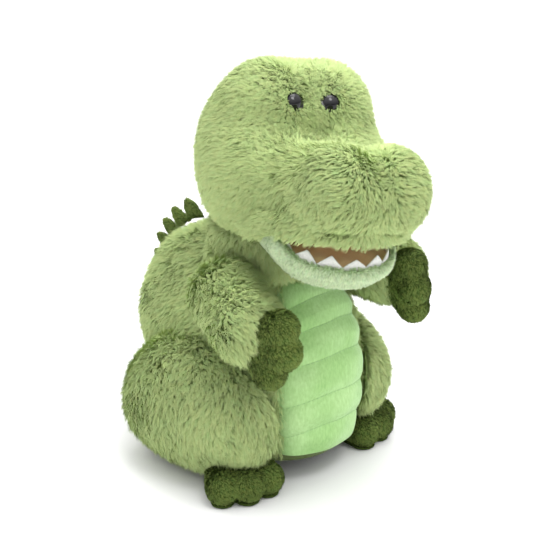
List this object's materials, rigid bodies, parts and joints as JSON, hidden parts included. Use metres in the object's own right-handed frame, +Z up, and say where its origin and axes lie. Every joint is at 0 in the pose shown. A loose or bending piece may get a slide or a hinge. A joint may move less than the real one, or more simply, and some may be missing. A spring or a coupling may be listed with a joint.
{
  "type": "moving mouth puppet",
  "caption": "Seated plush crocodile hand puppet with a hinged mouth, a turning and nodding head, swinging arms and tail, and a hand sleeve from the hem to finger and thumb pockets.",
  "frame": {"origin": "centre of the hand opening in the underside; the plane the puppet sits on is 14 mm below it", "axes": "+Z up, the body faces -Y, +X is the puppet's left side"},
  "size_m": [0.172, 0.2712, 0.2589],
  "materials": {
    "plush_green": "long pile plush",
    "plush_olive": "short pile plush",
    "plush_mint": "smooth short pile plush",
    "satin_tan": "satin",
    "felt_white": "felt",
    "lining": "plain woven lining",
    "fiberfill": "loose polyester fibre",
    "mouth_board": "thin sheet",
    "eye_black": "polished",
    "washer_white": "moulded"
  },
  "bodies": {
    "body": {"belly_panel": "plush_mint", "back_panel_right": "plush_green", "back_panel_left": "plush_green", "belly_fill": "fiberfill", "back_fill_right": "fiberfill", "back_fill_left": "fiberfill", "sleeve_lining": "lining", "hem_binding": "plush_olive", "haunch_right": "plush_green", "haunch_left": "plush_green", "foot_right": "plush_olive", "foot_left": "plush_olive", "sole_right": "plush_olive", "sole_left": "plush_olive", "back_pad": "plush_green", "back_ridge": "plush_olive"},
    "tail": {"tail_cover": "plush_green", "tail_ridge": "plush_olive"},
    "neck": {"neck_roll": "plush_green", "neck_lining": "lining"},
    "arm_right": {"arm_right": "plush_green", "paw_right": "plush_olive"},
    "arm_left": {"arm_left": "plush_green", "paw_left": "plush_olive"},
    "head": {"head_cover": "plush_green", "crown_fill": "fiberfill", "cheek_fill_right": "fiberfill", "cheek_fill_left": "fiberfill", "finger_pocket": "lining", "upper_mouth_board": "mouth_board", "palate_lining": "satin_tan", "upper_teeth": "felt_white", "eye_right": "eye_black", "eye_left": "eye_black", "eye_washers": "washer_white"},
    "jaw": {"jaw_cover": "plush_mint", "lower_mouth_board": "mouth_board", "jaw_lining": "satin_tan", "lower_teeth": "felt_white", "thumb_pocket": "lining"}
  },
  "joints": [
    {"name": "head_turn", "type": "hinge", "parent": "body", "child": "neck", "pos_m": [0, 0, 0.132], "axis": [0, 0, 1], "range_deg": [-15, 20]},
    {"name": "head_nod", "type": "hinge", "parent": "neck", "child": "head", "pos_m": [0, 0, 0.144], "axis": [-0.9203, 0.3718, 0.1219], "range_deg": [-8, 6]},
    {"name": "jaw_open", "type": "hinge", "parent": "head", "child": "jaw", "pos_m": [-0.01584, -0.04246, 0.15391], "axis": [0.9203, -0.3718, -0.1219], "range_deg": [-11, 12]},
    {"name": "arm_right_swing", "type": "hinge", "parent": "body", "child": "arm_right", "pos_m": [-0.053, -0.006, 0.113], "axis": [0, 0, -1], "range_deg": [-20, 25]},
    {"name": "arm_left_swing", "type": "hinge", "parent": "body", "child": "arm_left", "pos_m": [0.053, -0.006, 0.113], "axis": [0, 0, 1], "range_deg": [-6, 45]},
    {"name": "tail_swing", "type": "hinge", "parent": "body", "child": "tail", "pos_m": [0, 0.092, 0.012], "axis": [0, 0, 1], "range_deg": [-25, 25]}
  ]
}
